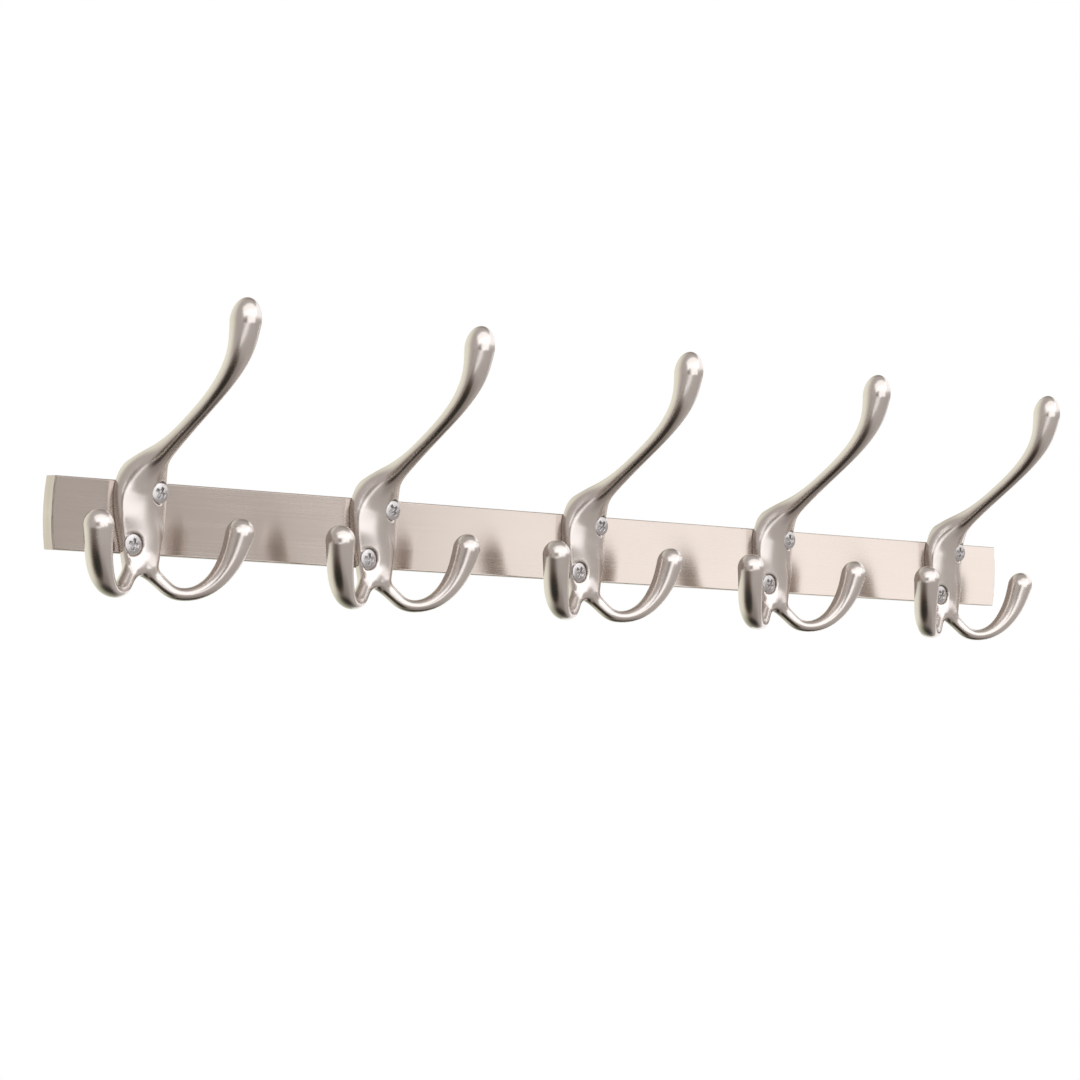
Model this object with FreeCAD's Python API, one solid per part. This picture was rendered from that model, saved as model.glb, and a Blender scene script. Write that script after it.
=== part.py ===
"""Wall hook rack: a flat metal rail with five triple coat hooks, each held by two screws.

Millimetres.  +X runs along the rail, +Z is up and +Y points into the wall.
The origin is the centre of the rail's back face, which lies on the wall.
"""
import FreeCAD, Part
import math
import os

Vector = FreeCAD.Vector

# --- driving dimensions -------------------------------------------------------
HOOK_COUNT = 5
HOOK_PITCH = 125.0

RAIL_LENGTH = 584.5         # between the outermost points of the bowed ends
RAIL_HEIGHT = 29.0
RAIL_THICKNESS = 6.0
RAIL_END_BOW = 1.2          # how far each end bulges past its corners
RAIL_EDGE_ROUNDING = 0.7    # of the front face, all round

WALL_HOLE_SPACING = 500.0   # behind the first and the last hook
WALL_HOLE_RADIUS = 2.5
WALL_SCREW_HEAD_RADIUS = 4.7
WALL_COUNTERSINK_DEPTH = 2.2

SCREW_SHANK_RADIUS = 2.0
SCREW_SHANK_LENGTH = 10.0
SCREW_HEAD_RADIUS = 4.2
SCREW_HEAD_RIM = 0.9        # straight wall of the head, below its dome
SCREW_HEAD_DOME = 0.5       # how far the head bulges over that wall
CROSS_WIDTH = 1.3
CROSS_REACH = 2.5           # half the length of each slot of the cross
CROSS_DEPTH = 1.1
THREAD_CLEARANCE = 0.06     # radial, between the screw and the tapped hole
HOLE_CLEARANCE = 0.25       # radial, between the screw and the hook
RECESS_CLEARANCE = 0.4      # radial, between the screw's head and its recess

# Each screw: sideways place, height, and how far its seat stands off the rail.
UPPER_SCREW = (5.75, 10.1, 5.9)
LOWER_SCREW = (-5.75, -10.9, 4.4)

# --- the hook, in its own frame: (sideways, out from the rail, up) -------------
PLATE_THICKNESS = 6.9
PLATE_SHOULDER = 2.2        # rounding of the plate's front edge
# Half of the leaf outline, (half width, height), from its top to its bottom.
LEAF_OUTLINE = [(0.0, 22.6), (7.0, 20.6), (11.1, 15.0), (12.6, 7.0), (11.2, -3.0),
                (8.9, -12.0), (7.4, -18.0), (0.0, -23.0)]

# Stations of a prong or arm: (sideways, out, up, half width, half thickness).
UPPER_PRONG = [
    (0.0, 1.5, 13.0, 9.3, 6.0),
    (0.0, 5.0, 18.6, 8.4, 6.2),
    (0.0, 11.8, 24.2, 5.2, 4.8),
    (0.0, 20.8, 29.8, 3.7, 3.4),
    (0.0, 33.2, 38.3, 3.1, 3.0),
    (0.0, 46.0, 48.0, 3.3, 3.3),
    (0.0, 55.0, 56.8, 4.2, 4.1),
    (0.0, 60.4, 65.6, 5.3, 5.2),
    (0.0, 62.5, 75.0, 6.1, 6.5),
]
UPPER_KNOB_CAP = 9.8        # length of the rounded end beyond the last station

LOWER_ARM = [
    (2.4, 3.4, -13.0, 4.2, 4.2),
    (4.0, 4.0, -22.0, 3.9, 4.4),
    (8.2, 5.2, -26.9, 3.8, 3.6),
    (13.1, 7.0, -29.2, 3.7, 2.9),
    (18.0, 9.1, -29.8, 3.9, 2.65),
    (25.1, 12.9, -27.2, 4.6, 3.2),
    (30.8, 16.5, -20.6, 5.4, 4.2),
    (34.0, 19.2, -12.5, 5.7, 5.1),
    (35.6, 20.8, -5.0, 6.2, 5.8),
]
LOWER_KNOB_CAP = 6.6

SECTION_POINTS = 12         # points on each rounded section
CAP_ANGLES = (32.0, 54.0, 70.0, 82.0)


def place(sideways, out, up):
    """A point of the hook's own frame, in the row frame of a hook at x = 0."""
    return Vector(sideways, -RAIL_THICKNESS - out, up)


def disc(x, z, out, radius, length):
    """A round bar along Y, from the given distance out towards the wall."""
    return Part.makeCylinder(radius, length, place(x, out, z), Vector(0, 1, 0))


# --- rail ---------------------------------------------------------------------
def rail_outline():
    """The rail's front view: straight long edges and bowed ends."""
    end = RAIL_LENGTH / 2
    corner = end - RAIL_END_BOW
    half = RAIL_HEIGHT / 2
    top_left = Vector(-corner, 0, half)
    top_right = Vector(corner, 0, half)
    low_left = Vector(-corner, 0, -half)
    low_right = Vector(corner, 0, -half)
    edges = [
        Part.LineSegment(top_left, top_right).toShape(),
        Part.Arc(top_right, Vector(end, 0, 0), low_right).toShape(),
        Part.LineSegment(low_right, low_left).toShape(),
        Part.Arc(low_left, Vector(-end, 0, 0), top_left).toShape(),
    ]
    return Part.Face(Part.Wire(edges))


def make_rail(hook_places):
    bar = rail_outline().extrude(Vector(0, -RAIL_THICKNESS, 0))
    front_edges = [e for e in bar.Edges if e.BoundBox.YMax < -RAIL_THICKNESS + 0.01]
    bar = bar.makeFillet(RAIL_EDGE_ROUNDING, front_edges)
    for x in hook_places:
        for side, height, _seat in (UPPER_SCREW, LOWER_SCREW):
            bar = bar.cut(disc(x + side, height, 1, SCREW_SHANK_RADIUS + THREAD_CLEARANCE,
                               RAIL_THICKNESS + 2))
    for x in (-WALL_HOLE_SPACING / 2, WALL_HOLE_SPACING / 2):
        bar = bar.cut(disc(x, 0, 1, WALL_HOLE_RADIUS, RAIL_THICKNESS + 2))
        sink = Part.makeCone(WALL_SCREW_HEAD_RADIUS, WALL_HOLE_RADIUS, WALL_COUNTERSINK_DEPTH,
                             place(x, 0, 0), Vector(0, 1, 0))
        bar = bar.cut(sink)
    return bar


# --- hook ---------------------------------------------------------------------
def leaf_plate():
    """The hook's body: a leaf-shaped plate on the rail, with a rounded front edge."""
    right = [place(w, 0, z) for w, z in LEAF_OUTLINE]
    left = [place(-w, 0, z) for w, z in reversed(LEAF_OUTLINE[1:-1])]
    curve = Part.BSplineCurve()
    curve.interpolate(right + left, PeriodicFlag=True)
    face = Part.Face(Part.Wire([curve.toShape()]))
    plate = face.extrude(Vector(0, -PLATE_THICKNESS, 0))
    front = -RAIL_THICKNESS - PLATE_THICKNESS
    rim = [e for e in plate.Edges if e.BoundBox.YMax < front + 0.01]
    return plate.makeFillet(PLATE_SHOULDER, rim)


def oval(centre, side, thick, half_width, half_thickness):
    """A closed oval section about a centre, in the plane of two unit vectors."""
    points = []
    for i in range(SECTION_POINTS):
        angle = 2 * math.pi * i / SECTION_POINTS
        offset = side * (half_width * math.cos(angle)) + thick * (half_thickness * math.sin(angle))
        points.append(centre + offset)
    curve = Part.BSplineCurve()
    curve.interpolate(points, PeriodicFlag=True)
    return Part.Wire([curve.toShape()])


def swept_horn(stations, cap_length, side_hint):
    """A smooth solid through oval stations, ending in a rounded cap."""
    centres = [place(*s[:3]) for s in stations]
    sections = []
    for i, station in enumerate(stations):
        before = centres[max(i - 1, 0)]
        after = centres[min(i + 1, len(centres) - 1)]
        along = (after - before).normalize()
        side = (side_hint - along * side_hint.dot(along)).normalize()
        thick = side.cross(along)
        sections.append(oval(centres[i], side, thick, station[3], station[4]))
    for degrees in CAP_ANGLES:
        angle = math.radians(degrees)
        centre = centres[-1] + along * (cap_length * math.sin(angle))
        shrink = math.cos(angle)
        sections.append(oval(centre, side, thick, station[3] * shrink, station[4] * shrink))
    return Part.makeLoft(sections, True, False)


def mirrored(stations):
    return [(-s[0],) + s[1:] for s in stations]


def screw_recess(screw):
    """The hole in the hook for one screw: a round recess for its head, over a clear hole."""
    side, height, seat = screw
    reach = 12.0
    recess = disc(side, height, seat + reach, SCREW_HEAD_RADIUS + RECESS_CLEARANCE, reach)
    hole = disc(side, height, seat + 1, SCREW_SHANK_RADIUS + HOLE_CLEARANCE, seat + 2)
    return recess.fuse(hole)


def make_hook():
    """One hook, cast in one piece, at x = 0."""
    prong = swept_horn(UPPER_PRONG, UPPER_KNOB_CAP, Vector(1, 0, 0))
    right_arm = swept_horn(LOWER_ARM, LOWER_KNOB_CAP, Vector(0.45, 0.9, 0))
    left_arm = swept_horn(mirrored(LOWER_ARM), LOWER_KNOB_CAP, Vector(-0.45, 0.9, 0))
    hook = leaf_plate()
    for horn in (prong, right_arm, left_arm):
        hook = hook.fuse(horn)
    behind = Part.makeBox(80, 20, 80, Vector(-40, -RAIL_THICKNESS, -40))
    hook = hook.cut(behind)
    for screw in (UPPER_SCREW, LOWER_SCREW):
        hook = hook.cut(screw_recess(screw))
    return hook


# --- screw --------------------------------------------------------------------
def make_screw(screw):
    """A cross-recess screw with a domed head, in its place on a hook at x = 0."""
    side, height, seat = screw
    shank = disc(side, height, seat + 0.1, SCREW_SHANK_RADIUS, SCREW_SHANK_LENGTH + 0.1)
    rim = disc(side, height, seat + SCREW_HEAD_RIM, SCREW_HEAD_RADIUS, SCREW_HEAD_RIM)
    dome_radius = (SCREW_HEAD_RADIUS ** 2 + SCREW_HEAD_DOME ** 2) / (2 * SCREW_HEAD_DOME)
    dome_centre = place(side, seat + SCREW_HEAD_RIM + SCREW_HEAD_DOME - dome_radius, height)
    dome = Part.makeSphere(dome_radius, dome_centre)
    cap = disc(side, height, seat + SCREW_HEAD_RIM + SCREW_HEAD_DOME, SCREW_HEAD_RADIUS,
               SCREW_HEAD_DOME).common(dome)
    body = shank.multiFuse([rim, cap])
    top = seat + SCREW_HEAD_RIM + SCREW_HEAD_DOME
    for turn in (20, 110):
        slot = Part.makeBox(2 * CROSS_REACH, CROSS_DEPTH + 1, CROSS_WIDTH,
                            place(side - CROSS_REACH, top + 1, height - CROSS_WIDTH / 2))
        slot.rotate(place(side, top, height), Vector(0, 1, 0), turn)
        body = body.cut(slot)
    return body.removeSplitter()


# --- the rack -----------------------------------------------------------------
def moved(shape, x):
    copy = shape.copy()
    copy.translate(Vector(x, 0, 0))
    return copy


def make_rack():
    places = [(i - (HOOK_COUNT - 1) / 2) * HOOK_PITCH for i in range(HOOK_COUNT)]
    nodes = {"rail": make_rail(places)}
    hook = make_hook()
    upper_screw = make_screw(UPPER_SCREW)
    lower_screw = make_screw(LOWER_SCREW)
    for number, x in enumerate(places, start=1):
        nodes["hook_%d" % number] = moved(hook, x)
        nodes["hook_%d_upper_screw" % number] = moved(upper_screw, x)
        nodes["hook_%d_lower_screw" % number] = moved(lower_screw, x)
    return nodes


os.makedirs("parts", exist_ok=True)
for name, shape in make_rack().items():
    shape.exportStep("parts/%s.step" % name)
    box = shape.BoundBox
    print(name, "solids", len(shape.Solids), "valid", shape.isValid(), "volume %.0f" % shape.Volume,
          "x %.1f %.1f y %.1f %.1f z %.1f %.1f" % (box.XMin, box.XMax, box.YMin, box.YMax, box.ZMin, box.ZMax))
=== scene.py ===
"""Looks of the wall hook rack: satin nickel hooks and bright screws on a brushed rail."""
import math
import random

import bpy
import numpy as np
from mathutils import Matrix, Vector


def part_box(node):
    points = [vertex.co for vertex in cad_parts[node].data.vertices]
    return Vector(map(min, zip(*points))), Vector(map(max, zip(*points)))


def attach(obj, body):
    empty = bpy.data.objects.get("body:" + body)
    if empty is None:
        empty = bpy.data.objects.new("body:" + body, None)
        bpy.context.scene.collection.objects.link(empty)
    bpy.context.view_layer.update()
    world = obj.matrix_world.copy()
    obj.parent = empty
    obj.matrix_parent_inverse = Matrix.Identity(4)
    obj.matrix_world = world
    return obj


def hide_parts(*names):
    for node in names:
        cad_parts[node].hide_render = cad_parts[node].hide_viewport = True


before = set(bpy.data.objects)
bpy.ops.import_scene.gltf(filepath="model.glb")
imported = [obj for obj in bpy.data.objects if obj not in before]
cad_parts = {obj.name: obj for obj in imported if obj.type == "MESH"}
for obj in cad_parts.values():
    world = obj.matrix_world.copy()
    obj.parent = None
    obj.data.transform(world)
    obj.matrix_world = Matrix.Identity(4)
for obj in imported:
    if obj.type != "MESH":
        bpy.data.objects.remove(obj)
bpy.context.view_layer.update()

MM = 0.001
HOOKS = (1, 2, 3, 4, 5)
random.seed(7)

# --- the hook, in its own frame: (sideways, out from the rail, up), in millimetres ---
LEAF_OUTLINE = [(0.0, 22.6), (7.0, 20.6), (11.1, 15.0), (12.6, 7.0), (11.2, -3.0),
                (8.9, -12.0), (7.2, -18.0), (0.0, -21.8)]
# The body's front along its crest: (height, out from the rail).
BODY_FRONT = [(-30.0, 6.5), (-20.0, 6.4), (-14.0, 6.4), (-8.0, 6.6), (0.0, 7.0), (7.0, 7.2),
              (12.0, 7.3), (16.0, 7.6), (20.0, 8.8), (24.0, 11.0), (30.0, 15.4)]
BODY_CROWN = 0.024          # how fast the front falls away to each side of its crest
CROWN_TILT = 0.35           # the share by which it falls faster at the right than at the left
CREST_SIDE = 1.0            # where the crest runs over the upper half, right of the middle
CREST_DRIFT = 2.6           # how much further right it runs at the foot
FRONT_SLOPE = 0.93          # keeps the front's field a distance where the crown is steepest
BODY_EDGE = 1.7             # rounding from the body's side wall to its front
TOP_EDGE = 3.6              # the same at the top, where it fades into the prong
# Stations of a prong or arm: (sideways, out, up, half width, half thickness).
UPPER_PRONG = [(0.0, 0.8, 13.0, 9.0, 5.2), (0.0, 4.6, 18.6, 8.4, 6.0), (0.0, 11.8, 24.2, 5.2, 4.8),
               (0.0, 20.8, 29.8, 3.7, 3.4), (0.0, 33.2, 38.3, 3.1, 3.0), (0.0, 46.0, 48.0, 3.3, 3.3),
               (0.0, 55.0, 56.8, 4.2, 4.1), (0.0, 60.4, 65.6, 5.3, 5.2), (0.0, 62.5, 75.0, 6.1, 6.5)]
UPPER_CAP = 9.6             # length of the rounded end beyond the last station
LOWER_ARM = [(0.6, 2.2, -18.4, 3.0, 3.0), (4.6, 2.9, -21.5, 3.2, 3.0), (8.7, 4.8, -25.3, 3.4, 2.9),
             (13.1, 7.0, -28.9, 3.7, 2.7), (18.0, 9.1, -29.75, 3.9, 2.6), (25.1, 12.9, -27.2, 4.6, 3.2),
             (30.8, 16.5, -20.6, 5.4, 4.2), (34.0, 19.2, -12.5, 5.7, 5.1), (35.6, 20.8, -5.0, 6.2, 5.8)]
LOWER_CAP = 6.6
ROOT_CAP = 3.0              # the same before the first station
PRONG_JOIN = 8.0            # reach of the soft joins between the body and its limbs
ARM_JOIN = 6.5
CROTCH_JOIN = 0.4
BACK_ROUNDING = 0.6         # of the edge that lies on the rail
HOOK_BOX = ((-42.5, -0.6, -33.4), (42.5, 70.2, 85.6))
HOOK_STEP = 0.5             # size of the mesh's cells

# --- the screws: sideways place, height, and the seat of the head off the rail ---
UPPER_SCREW = (5.75, 10.1, 5.9)
LOWER_SCREW = (-5.75, -10.9, 4.4)
RECESS_RADIUS = 4.6
RECESS_EDGE = 0.7
HOLE_RADIUS = 2.25
HEAD_RADIUS = 4.2
HEAD_RIM = 0.9
HEAD_DOME = 0.5
CROSS_WIDTH = 0.72          # half of a slot's width at the top
CROSS_REACH = 2.55          # half of its length at the top
CROSS_DEPTH = 1.3
CROSS_LEAN = (0.75, 0.12)   # how fast the length and the width shrink with depth
SHANK_RADIUS = 1.95
SHANK_CORE = 1.62
SHANK_LENGTH = 9.9
THREAD_PITCH = 0.8
SCREW_STEP = 0.16
SCREW_ROOM = 0.3            # space kept round the screw in its grid


# --- fields of distances ----------------------------------------------------------
def smooth_curve(knots, count):
    """Points of a natural cubic spline through the knots, evenly spaced along it."""
    knots = np.asarray(knots, float)
    spans = np.linalg.norm(np.diff(knots[:, :3], axis=0), axis=1)
    at = np.concatenate([[0.0], np.cumsum(spans)])
    size = len(at)
    matrix = np.eye(size)
    right = np.zeros_like(knots)
    for i in range(1, size - 1):
        matrix[i, i - 1:i + 2] = spans[i - 1], 2 * (spans[i - 1] + spans[i]), spans[i]
        rise, before = knots[i + 1] - knots[i], knots[i] - knots[i - 1]
        right[i] = 6 * (rise / spans[i] - before / spans[i - 1])
    bend = np.linalg.solve(matrix, right)
    where = np.linspace(0, at[-1], count)
    cell = np.clip(np.searchsorted(at, where) - 1, 0, size - 2)
    span = spans[cell][:, None]
    low = (at[cell + 1] - where)[:, None] / span
    high = 1 - low
    curved = (low ** 3 - low) * bend[cell] + (high ** 3 - high) * bend[cell + 1]
    return low * knots[cell] + high * knots[cell + 1] + curved * span ** 2 / 6


def smooth_min(a, b, reach):
    """The lesser of two fields, rounded where they are within reach of each other."""
    near = np.maximum(reach - np.abs(a - b), 0) / reach
    return np.minimum(a, b) - near ** 3 * reach / 6


def smooth_max(a, b, reach):
    """The greater of two fields, rounded in the same way."""
    return -smooth_min(-a, -b, reach)


def smooth_step(low, high, value):
    """From 0 at low to 1 at high, level at both ends."""
    share = np.clip((value - low) / (high - low), 0, 1)
    return share * share * (3 - 2 * share)


def rounded_corner(a, b, radius):
    """The overlap of two fields, with a round edge of the given radius."""
    inner = np.minimum(np.maximum(a, b), -radius)
    return inner + np.hypot(np.maximum(a + radius, 0), np.maximum(b + radius, 0))


class Horn:
    """A limb through oval stations, rounded at both ends."""

    COUNT = 220

    def __init__(self, stations, cap, side_hint):
        rows = smooth_curve(stations, self.COUNT)
        along = np.gradient(rows[:, :3], axis=0)
        self.spacing = np.linalg.norm(along, axis=1).mean()
        along /= np.linalg.norm(along, axis=1)[:, None]
        hint = np.asarray(side_hint, float)
        side = hint - along * (along @ hint)[:, None]
        side /= np.linalg.norm(side, axis=1)[:, None]
        self.rows = np.concatenate([rows, along, side, np.cross(side, along)], axis=1)
        self.cap = cap

    def __call__(self, points):
        centres = self.rows[:, :3]
        gaps = (centres ** 2).sum(axis=1)[None] - 2 * points @ centres.T
        best = gaps.argmin(axis=1)
        ahead = ((points - centres[best]) * self.rows[best, 5:8]).sum(axis=1) / self.spacing
        where = np.clip(best + np.clip(ahead, -1, 1), 0, self.COUNT - 1)
        first = np.minimum(where.astype(int), self.COUNT - 2)
        share = (where - first)[:, None]
        row = self.rows[first] * (1 - share) + self.rows[first + 1] * share
        offset = points - row[:, :3]
        beyond = (offset * row[:, 5:8]).sum(axis=1)
        over = np.where(where >= self.COUNT - 1.001, np.maximum(beyond, 0) / self.cap,
                        np.where(where <= 0.001, np.minimum(beyond, 0) / ROOT_CAP, 0))
        lengths = np.where(where <= 0.001, ROOT_CAP, self.cap)
        scaled = np.stack([(offset * row[:, 8:11]).sum(axis=1) / row[:, 3],
                           (offset * row[:, 11:14]).sum(axis=1) / row[:, 4], over], axis=1)
        level = np.linalg.norm(scaled, axis=1) + 1e-6
        slope = scaled / np.stack([row[:, 3], row[:, 4], lengths], axis=1)
        return (level - 1) * level / (np.linalg.norm(slope, axis=1) + 1e-6)


class Leaf:
    """Distances, in the plane of the wall, from the outline of the hook's body."""

    COUNT = 300

    def __init__(self, outline):
        left = [(-w, z) for w, z in reversed(outline[1:-1])]
        ring = np.array((outline + left) * 3 + [outline[0]])
        flat = np.concatenate([ring, ring[:, :1] * 0], axis=1)
        fine = smooth_curve(flat, 3 * self.COUNT + 1)[self.COUNT:2 * self.COUNT, :2]
        along = np.roll(fine, -1, axis=0) - np.roll(fine, 1, axis=0)
        along /= np.linalg.norm(along, axis=1)[:, None]
        self.ring = fine
        self.outward = np.stack([-along[:, 1], along[:, 0]], axis=1)

    def __call__(self, flat):
        best = ((self.ring ** 2).sum(axis=1)[None] - 2 * flat @ self.ring.T).argmin(axis=1)
        offset = flat - self.ring[best]
        side = (offset * self.outward[best]).sum(axis=1)
        return np.where(np.abs(side) > 0.5, np.sign(side) * np.linalg.norm(offset, axis=1), side)


def in_chunks(field, points, size=30000):
    """The field at many points, in pieces small enough for memory."""
    parts = [field(points[i:i + size]) for i in range(0, len(points), size)]
    return np.concatenate(parts) if parts else np.zeros(0)


def hook_field():
    """One hook: the body, the prong and both arms, less the holes for two screws."""
    prong = Horn(UPPER_PRONG, UPPER_CAP, (1, 0, 0))
    arm = Horn(LOWER_ARM, LOWER_CAP, (0.45, -0.9, 0))
    leaf = Leaf(LEAF_OUTLINE)
    front_rows = smooth_curve([(z, out, 0) for z, out in BODY_FRONT], 200)

    def field(p):
        x, out, z = p.T
        rim = leaf(p[:, [0, 2]])
        crest = CREST_SIDE + CREST_DRIFT * smooth_step(2, -8, z)
        crown = BODY_CROWN * (1 + CROWN_TILT * np.tanh(0.35 * (x - crest)))
        front = np.interp(z, front_rows[:, 0], front_rows[:, 1]) - crown * (x - crest) ** 2
        edge = BODY_EDGE + (TOP_EDGE - BODY_EDGE) * smooth_step(2, 20, z)
        body = rounded_corner(rim, (out - front) * FRONT_SLOPE, edge)
        own_side = np.stack([np.abs(x), out, z], axis=1)
        arms = arm(own_side)
        near = np.abs(x) < 9
        arms[near] = smooth_min(arms[near], arm(own_side[near] * (-1, 1, 1)), CROTCH_JOIN)
        solid = smooth_min(body, prong(p), PRONG_JOIN)
        solid = smooth_min(solid, arms, ARM_JOIN)
        solid = smooth_max(solid, -out, BACK_ROUNDING)
        for side, height, seat in (UPPER_SCREW, LOWER_SCREW):
            radius = np.hypot(x - side, z - height)
            recess = np.maximum(radius - RECESS_RADIUS, seat - out)
            hole = radius - HOLE_RADIUS
            solid = smooth_max(solid, -recess, RECESS_EDGE)
            solid = np.maximum(solid, -hole)
        return solid

    return field


def screw_field(p):
    """A screw along its own axis: (sideways, out from its seat, up)."""
    x, out, z = p.T
    radius = np.hypot(x, z)
    dome = (HEAD_RADIUS ** 2 + HEAD_DOME ** 2) / (2 * HEAD_DOME)
    crown = np.hypot(radius, out - (HEAD_RIM + HEAD_DOME - dome)) - dome
    head = np.maximum(smooth_max(radius - HEAD_RADIUS, crown, 0.5), -out)
    turn = np.arctan2(z, x) / (2 * math.pi)
    phase = np.abs((out / THREAD_PITCH + turn) % 1 - 0.5) * 2
    thread = radius - (SHANK_CORE + (SHANK_RADIUS - SHANK_CORE) * phase)
    tip = np.maximum(-out - SHANK_LENGTH, radius - SHANK_RADIUS - 0.6 * (out + SHANK_LENGTH - 0.5))
    shank = np.maximum(np.maximum(thread * 0.8, tip), out - 0.2)
    solid = np.minimum(head, shank)
    depth = HEAD_RIM + HEAD_DOME - out
    reach = CROSS_REACH - CROSS_LEAN[0] * np.maximum(depth, 0)
    width = CROSS_WIDTH - CROSS_LEAN[1] * np.maximum(depth, 0)
    cross = np.minimum(np.maximum(np.abs(x) - reach, np.abs(z) - width),
                       np.maximum(np.abs(z) - reach, np.abs(x) - width))
    middle = (np.abs(x) + np.abs(z)) * 0.707 - (1.25 - 0.55 * depth)
    cross = np.maximum(smooth_min(cross, middle, 0.2), depth - CROSS_DEPTH)
    return smooth_max(solid, -cross, 0.18)


# --- meshes from fields -------------------------------------------------------------
def slopes(field, points, gap):
    """The field's values and gradients, from the four corners of a small tetrahedron."""
    corners = np.array([(1, -1, -1), (-1, -1, 1), (-1, 1, -1), (1, 1, 1)], float)
    values = [in_chunks(field, points + c * gap) for c in corners]
    gradient = sum(v[:, None] * c for v, c in zip(values, corners)) / (4 * gap)
    return sum(values) / 4, gradient


def sampled(field, low, high, step, block=4):
    """The field on a grid: exact near its zero surface, coarse elsewhere."""
    blocks = np.ceil((np.asarray(high, float) - low) / (step * block)).astype(int)
    middles = np.stack(np.meshgrid(*[np.arange(n) for n in blocks], indexing="ij"), axis=-1).reshape(-1, 3)
    coarse = in_chunks(field, low + (middles + 0.5) * block * step)
    near = np.abs(coarse) < block * step * 1.15
    grid = coarse.reshape(blocks)
    for axis in range(3):
        grid = np.repeat(grid, block, axis=axis)
        grid = np.concatenate([grid, grid.take([-1], axis=axis)], axis=axis)
    wanted = np.zeros(grid.shape, bool)
    for corner in np.ndindex(block + 1, block + 1, block + 1):
        at = middles[near] * block + corner
        wanted[at[:, 0], at[:, 1], at[:, 2]] = True
    corners = np.argwhere(wanted)
    grid[wanted] = in_chunks(field, low + corners * step)
    return grid


def surface_net(grid):
    """Quads round every grid edge that the surface crosses, a vertex for each cell it crosses."""
    inside = grid < 0
    quads, owners, crossings = [], [], []
    strides = np.array([grid.shape[1] * grid.shape[2], grid.shape[2], 1])
    units = np.eye(3, dtype=int)
    for axis in range(3):
        first = [slice(None)] * 3
        second = [slice(None)] * 3
        first[axis] = slice(0, -1)
        second[axis] = slice(1, None)
        start = np.argwhere(inside[tuple(first)] != inside[tuple(second)])
        a = grid[tuple(start.T)]
        b = grid[tuple((start + units[axis]).T)]
        point = start.astype(float)
        point[:, axis] += a / (a - b)
        u, v = units[(axis + 1) % 3], units[(axis + 2) % 3]
        cells = np.stack([(start - c) @ strides for c in (0 * u, u, u + v, v)], axis=1)
        quads.append(np.where((a < 0)[:, None], cells, cells[:, ::-1]))
        owners.append(cells.ravel())
        crossings.append(np.repeat(point, 4, axis=0))
    quads, owners, crossings = map(np.concatenate, (quads, owners, crossings))
    used, index = np.unique(owners, return_inverse=True)
    count = np.bincount(index)
    points = np.stack([np.bincount(index, crossings[:, i]) for i in range(3)], axis=1) / count[:, None]
    return points, np.searchsorted(used, quads)


def settled(field, points, faces, step, rounds):
    """The points moved onto the surface and, between moves, evened out along it."""
    around = np.concatenate([faces[:, [i, (i + 1) % 4]] for i in range(4)])
    around = np.concatenate([around, around[:, ::-1]])
    neighbours = np.bincount(around[:, 0], minlength=len(points))[:, None]
    for turn in range(rounds):
        value, gradient = slopes(field, points, step * 0.2)
        length = (gradient ** 2).sum(axis=1)[:, None] + 1e-9
        points = points - np.clip(gradient * value[:, None] / length, -step, step)
        if turn < rounds - 1:
            mean = np.stack([np.bincount(around[:, 0], points[around[:, 1], i], minlength=len(points))
                             for i in range(3)], axis=1) / neighbours
            normal = gradient / np.sqrt(length)
            shift = mean - points
            points = points + 0.5 * (shift - normal * (shift * normal).sum(axis=1)[:, None])
    return points


def net_mesh(name, field, low, high, step, rounds=3):
    """A smooth mesh of quads on a field's zero surface, in the row frame and in metres."""
    low = np.asarray(low, float)
    points, faces = surface_net(sampled(field, low, high, step))
    points = settled(field, low + points * step, faces, step, rounds)
    mesh = bpy.data.meshes.new(name)
    to_row = np.array([(1, 0, 0), (0, -1, 0), (0, 0, 1)], float)
    mesh.vertices.add(len(points))
    mesh.vertices.foreach_set("co", ((points @ to_row) * MM).ravel())
    mesh.loops.add(faces.size)
    mesh.loops.foreach_set("vertex_index", faces[:, ::-1].ravel())
    mesh.polygons.add(len(faces))
    mesh.polygons.foreach_set("loop_start", np.arange(len(faces)) * 4)
    mesh.polygons.foreach_set("use_smooth", np.ones(len(faces), bool))
    mesh.update(calc_edges=True)
    mesh.validate()
    return mesh


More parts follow.
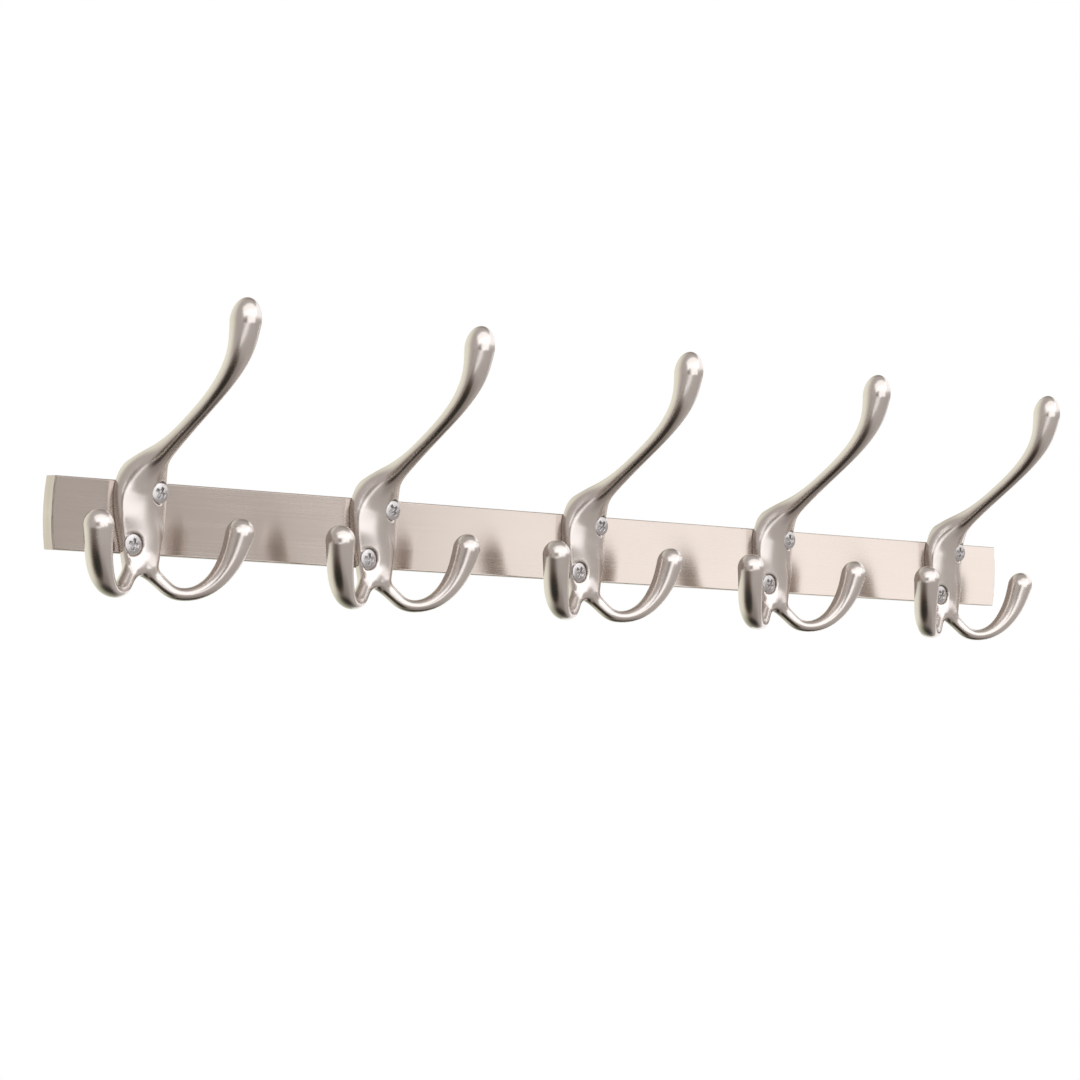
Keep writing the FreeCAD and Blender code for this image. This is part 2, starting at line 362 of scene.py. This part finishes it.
# --- materials ------------------------------------------------------------------------
class Nodes:
    """A material's node tree, built by short calls."""

    def __init__(self, name):
        self.material = bpy.data.materials.new(name)
        self.material.use_nodes = True
        self.tree = self.material.node_tree
        self.tree.nodes.clear()
        self.shader = self.add("ShaderNodeBsdfPrincipled")
        output = self.add("ShaderNodeOutputMaterial")
        self.link(self.shader.outputs["BSDF"], output.inputs["Surface"])
        self.place = self.add("ShaderNodeNewGeometry").outputs["Position"]

    def add(self, kind, **values):
        node = self.tree.nodes.new(kind)
        for key, value in values.items():
            setattr(node, key, value)
        return node

    def link(self, a, b):
        self.tree.links.new(a, b)

    def stretched(self, scale, turn=(0, 0, 0)):
        """The surface's place in the row frame, turned and then scaled."""
        mapping = self.add("ShaderNodeMapping", vector_type="TEXTURE")
        mapping.inputs["Rotation"].default_value = turn
        mapping.inputs["Scale"].default_value = [1 / s for s in scale]
        self.link(self.place, mapping.inputs["Vector"])
        return mapping.outputs["Vector"]

    def noise(self, vector, scale=1.0, detail=3.0, roughness=0.55):
        node = self.add("ShaderNodeTexNoise")
        node.inputs["Scale"].default_value = scale
        node.inputs["Detail"].default_value = detail
        node.inputs["Roughness"].default_value = roughness
        self.link(vector, node.inputs["Vector"])
        return node.outputs["Fac"]

    def ranged(self, value, low, high, start=0.3, stop=0.7):
        node = self.add("ShaderNodeMapRange")
        for key, number in (("From Min", start), ("From Max", stop), ("To Min", low), ("To Max", high)):
            node.inputs[key].default_value = number
        self.link(value, node.inputs["Value"])
        return node.outputs["Result"]

    def math(self, operation, a, b):
        node = self.add("ShaderNodeMath", operation=operation)
        for socket, value in zip(node.inputs, (a, b)):
            if isinstance(value, (int, float)):
                socket.default_value = value
            else:
                self.link(value, socket)
        return node.outputs["Value"]

    def colours(self, value, stops):
        node = self.add("ShaderNodeValToRGB")
        ramp = node.color_ramp
        while len(ramp.elements) < len(stops):
            ramp.elements.new(0.5)
        for element, (at, colour) in zip(ramp.elements, stops):
            element.position = at
            element.color = (*colour, 1)
        self.link(value, node.inputs["Fac"])
        return node.outputs["Color"]

    def bump(self, height, distance, strength=1.0, under=None):
        node = self.add("ShaderNodeBump")
        node.inputs["Strength"].default_value = strength
        node.inputs["Distance"].default_value = distance
        self.link(height, node.inputs["Height"])
        if under is not None:
            self.link(under, node.inputs["Normal"])
        return node.outputs["Normal"]

    def metal(self, colour, roughness, normal=None):
        self.shader.inputs["Metallic"].default_value = 1.0
        self.link(colour, self.shader.inputs["Base Color"])
        self.link(roughness, self.shader.inputs["Roughness"])
        if normal is not None:
            self.link(normal, self.shader.inputs["Normal"])
        return self.material


def satin_nickel():
    """Cast and plated nickel, rubbed to a satin: soft clouds, and fine hairlines in two directions."""
    n = Nodes("satin_nickel")
    clouds = n.noise(n.stretched((60, 60, 60)), detail=4)
    grain = n.noise(n.stretched((1400, 1400, 1400)), detail=2)
    hairs = n.noise(n.stretched((3000, 3000, 90), (0.2, 0.35, 0)), detail=2)
    cross = n.noise(n.stretched((90, 2600, 2600), (0, 0.3, 0.4)), detail=2)
    lines = n.math("ADD", n.math("MULTIPLY", hairs, 0.6), n.math("MULTIPLY", cross, 0.4))
    colour = n.colours(clouds, [(0.25, (0.69, 0.635, 0.60)), (0.75, (0.76, 0.705, 0.67))])
    rough = n.math("ADD", n.ranged(clouds, 0.20, 0.26), n.ranged(lines, -0.02, 0.035))
    normal = n.bump(grain, 0.00002, 0.5, n.bump(lines, 0.00003, 0.5))
    return n.metal(colour, rough, normal)


def brushed_nickel():
    """Flat bar brushed along its length."""
    n = Nodes("brushed_nickel")
    streaks = n.noise(n.stretched((14, 2200, 2200)), detail=3)
    wide = n.noise(n.stretched((5, 500, 500)), detail=2)
    clouds = n.noise(n.stretched((18, 40, 40)), detail=4)
    lines = n.math("ADD", n.math("MULTIPLY", streaks, 0.7), n.math("MULTIPLY", wide, 0.3))
    colour = n.colours(lines, [(0.3, (0.675, 0.61, 0.565)), (0.7, (0.715, 0.65, 0.605))])
    rough = n.math("ADD", n.ranged(lines, 0.22, 0.28), n.ranged(clouds, -0.02, 0.03))
    normal = n.bump(lines, 0.00002, 0.5)
    n.shader.inputs["Anisotropic"].default_value = 0.85
    n.link(n.add("ShaderNodeTangent", direction_type="RADIAL", axis="X").outputs["Tangent"],
           n.shader.inputs["Tangent"])
    return n.metal(colour, rough, normal)


def screw_nickel():
    """Plated screws, a little darker and cooler than the hooks, scuffed by the driver."""
    n = Nodes("bright_nickel_screw")
    clouds = n.noise(n.stretched((400, 400, 400)), detail=4)
    scuffs = n.noise(n.stretched((2500, 2500, 500), (0, 0.6, 0)), detail=2)
    colour = n.colours(clouds, [(0.25, (0.52, 0.50, 0.50)), (0.75, (0.64, 0.62, 0.62))])
    rough = n.math("ADD", n.ranged(clouds, 0.2, 0.28), n.ranged(scuffs, -0.02, 0.04))
    return n.metal(colour, rough, n.bump(scuffs, 0.00003, 0.5))


# --- pieces ---------------------------------------------------------------------------
def middle(node, axis):
    """The middle of a CAD node's box along one axis."""
    low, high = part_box(node)
    return (low[axis] + high[axis]) / 2


def put(name, mesh, place, node, turn=0.0):
    """An object with the mesh, standing for a CAD node."""
    piece = bpy.data.objects.new(name, mesh)
    bpy.context.scene.collection.objects.link(piece)
    piece.matrix_world = Matrix.Translation(place) @ Matrix.Rotation(turn, 4, "Y")
    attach(piece, "root")
    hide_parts(node)
    return piece


def build_rack():
    """The rail as the CAD has it, and on it five hooks with two screws each."""
    nickel, brushed, plated = satin_nickel(), brushed_nickel(), screw_nickel()
    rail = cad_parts["rail"]
    rail.data.materials.clear()
    rail.data.materials.append(brushed)
    rail_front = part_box("rail")[0].y
    hook = net_mesh("hook", hook_field(), *HOOK_BOX, HOOK_STEP)
    hook.materials.append(nickel)
    reach = HEAD_RADIUS + SCREW_ROOM
    screw = net_mesh("screw", screw_field, (-reach, -SHANK_LENGTH - SCREW_ROOM, -reach),
                     (reach, HEAD_RIM + HEAD_DOME + SCREW_ROOM, reach), SCREW_STEP)
    screw.materials.append(plated)
    for number in HOOKS:
        x = middle("hook_%d" % number, 0)
        put("coat_hook_%d" % number, hook, (x, rail_front, 0), "hook_%d" % number)
        for which, (side, height, seat) in (("upper", UPPER_SCREW), ("lower", LOWER_SCREW)):
            node = "hook_%d_%s_screw" % (number, which)
            place = (x + side * MM, rail_front - seat * MM, height * MM)
            put("cross_%s_screw_%d" % (which, number), screw, place, node,
                random.uniform(0, math.pi / 2))


# --- floor, light and camera ------------------------------------------------------------
FLOOR_RADIUS = 2.6
FLOOR_HEIGHT = -1.1
LAMP_DISTANCE = 2.6
# Broad soft patches of the studio: (azimuth, elevation, inner angle, outer angle, amount, tint).
STUDIO_PATCHES = [
    (180, -5, 24, 74, 0.50, (0.97, 1.04, 0.82)),
    (140, -48, 8, 38, -0.50, (1.0, 0.97, 0.92)),
    (132, 42, 8, 40, -0.22, (1.0, 1.0, 1.0)),
    (-90, -55, 10, 40, -0.46, (1.0, 1.0, 1.0)),
    (0, -90, 10, 50, -0.22, (1.0, 1.0, 1.0)),
    (-49, 0, 6, 18, -0.24, (1.0, 1.0, 1.0)),
]
STUDIO_TONE = (0.53, 0.50, 0.48)
DARKEST_TONE = (0.025, 0.027, 0.022)
CAMERA_PLACE = (-1.1974, -1.1968, -0.0662)
# Degrees about the camera's own axes, one after another.
CAMERA_TURNS = ((-44.54, "Z"), (92.35, "X"), (1.69, "Z"))
CAMERA_LENS = 127.17


def make_floor():
    """A pale floor well below the rack, which the metal does not reflect."""
    bpy.ops.mesh.primitive_circle_add(vertices=96, radius=FLOOR_RADIUS, fill_type="NGON",
                                      location=(0, 0, FLOOR_HEIGHT))
    floor = bpy.context.object
    floor.name = "floor"
    n = Nodes("floor_pale")
    tone = n.noise(n.stretched((3, 3, 3)), detail=3)
    n.link(n.colours(tone, [(0.3, (0.82, 0.82, 0.81)), (0.7, (0.86, 0.86, 0.85))]),
           n.shader.inputs["Base Color"])
    n.shader.inputs["Roughness"].default_value = 0.8
    floor.data.materials.append(n.material)
    floor.visible_glossy = False


def toward(azimuth, elevation):
    """A direction from the rack: azimuth 0 is straight in front, +90 at its right."""
    a, e = math.radians(azimuth), math.radians(elevation)
    return Vector((math.sin(a) * math.cos(e), -math.cos(a) * math.cos(e), math.sin(e)))


def soft_box(name, sides, ends, radiance, roll=0, colour=(0.98, 1.0, 1.035), only=None, but=None):
    """A lamp facing the rack, from one azimuth to another and one elevation to another.

    It may light only one piece, or all but one.
    """
    place = toward(sum(sides) / 2, sum(ends) / 2) * LAMP_DISTANCE
    width, height = (2 * LAMP_DISTANCE * math.tan(math.radians((b - a) / 2)) for a, b in (sides, ends))
    data = bpy.data.lights.new(name, "AREA")
    data.shape = "RECTANGLE"
    data.size, data.size_y = width, height
    data.energy = radiance * math.pi * width * height
    data.color = colour
    lamp = bpy.data.objects.new(name, data)
    facing = place.to_track_quat("Z", "Y").to_matrix().to_4x4()
    lamp.matrix_world = Matrix.Translation(place) @ facing @ Matrix.Rotation(math.radians(roll), 4, "Z")
    lamp.visible_camera = False
    bpy.context.scene.collection.objects.link(lamp)
    if only or but:
        group = bpy.data.collections.new(name + "_lights")
        group.objects.link(only or but)
        lamp.light_linking.receiver_collection = group
        if but:
            group.collection_objects[0].light_linking.link_state = "EXCLUDE"


def make_world():
    """A soft studio all round for the metal, and plain white for the camera."""
    world = bpy.data.worlds.new("studio")
    bpy.context.scene.world = world
    world.use_nodes = True
    tree = world.node_tree
    tree.nodes.clear()

    def add(kind, **values):
        node = tree.nodes.new(kind)
        for key, value in values.items():
            setattr(node, key, value)
        return node

    direction = add("ShaderNodeTexCoord").outputs["Generated"]
    total = None
    for azimuth, elevation, inner, outer, amount, tint in STUDIO_PATCHES:
        dot = add("ShaderNodeVectorMath", operation="DOT_PRODUCT")
        tree.links.new(direction, dot.inputs[0])
        dot.inputs[1].default_value = toward(azimuth, elevation)
        patch = add("ShaderNodeMapRange", interpolation_type="SMOOTHSTEP")
        patch.inputs["From Min"].default_value = math.cos(math.radians(outer))
        patch.inputs["From Max"].default_value = math.cos(math.radians(inner))
        tree.links.new(dot.outputs["Value"], patch.inputs["Value"])
        sum_node = add("ShaderNodeVectorMath", operation="MULTIPLY_ADD")
        tree.links.new(patch.outputs["Result"], sum_node.inputs[0])
        sum_node.inputs[1].default_value = [amount * t for t in tint]
        if total is None:
            sum_node.inputs[2].default_value = STUDIO_TONE
        else:
            tree.links.new(total, sum_node.inputs[2])
        total = sum_node.outputs["Vector"]
    limited = add("ShaderNodeVectorMath", operation="MAXIMUM")
    tree.links.new(total, limited.inputs[0])
    limited.inputs[1].default_value = DARKEST_TONE
    around = add("ShaderNodeBackground")
    tree.links.new(limited.outputs["Vector"], around.inputs["Color"])
    seen = add("ShaderNodeBackground")
    seen.inputs["Color"].default_value = (1, 1, 1, 1)
    mix = add("ShaderNodeMixShader")
    tree.links.new(add("ShaderNodeLightPath").outputs["Is Camera Ray"], mix.inputs["Fac"])
    tree.links.new(around.outputs["Background"], mix.inputs[1])
    tree.links.new(seen.outputs["Background"], mix.inputs[2])
    tree.links.new(mix.outputs["Shader"], add("ShaderNodeOutputWorld").inputs["Surface"])


def make_lights():
    """Six boxes for the hooks and screws, and one of its own for the flat rail."""
    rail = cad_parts["rail"]
    soft_box("key", (-66, 32), (14, 66), 0.85, but=rail)
    soft_box("key_core", (-60, 30), (14, 36), 0.30, but=rail)
    soft_box("side_right", (32, 116), (9, 42), 0.80, but=rail)
    soft_box("front_low", (-38, 24), (-11, 14), 0.90, but=rail)
    soft_box("strip_left", (-60, -12), (-24, -13), 0.75, roll=16, but=rail)
    soft_box("strip_right", (86, 136), (-22, -8), 0.80, roll=-26, but=rail)
    soft_box("rail_side", (41, 86), (-42, 42), 0.80, colour=(1.0, 0.985, 0.98), only=rail)


def make_camera():
    data = bpy.data.cameras.new("camera")
    data.sensor_width = 36
    data.lens = CAMERA_LENS
    data.clip_end = 50
    camera = bpy.data.objects.new("camera", data)
    camera.location = CAMERA_PLACE
    turn = Matrix.Identity(4)
    for degrees, axis in CAMERA_TURNS:
        turn = turn @ Matrix.Rotation(math.radians(degrees), 4, axis)
    camera.rotation_euler = turn.to_euler()
    bpy.context.scene.collection.objects.link(camera)
    bpy.context.scene.camera = camera


build_rack()
make_floor()
make_world()
make_lights()
make_camera()
bpy.context.scene.view_settings.view_transform = "Standard"
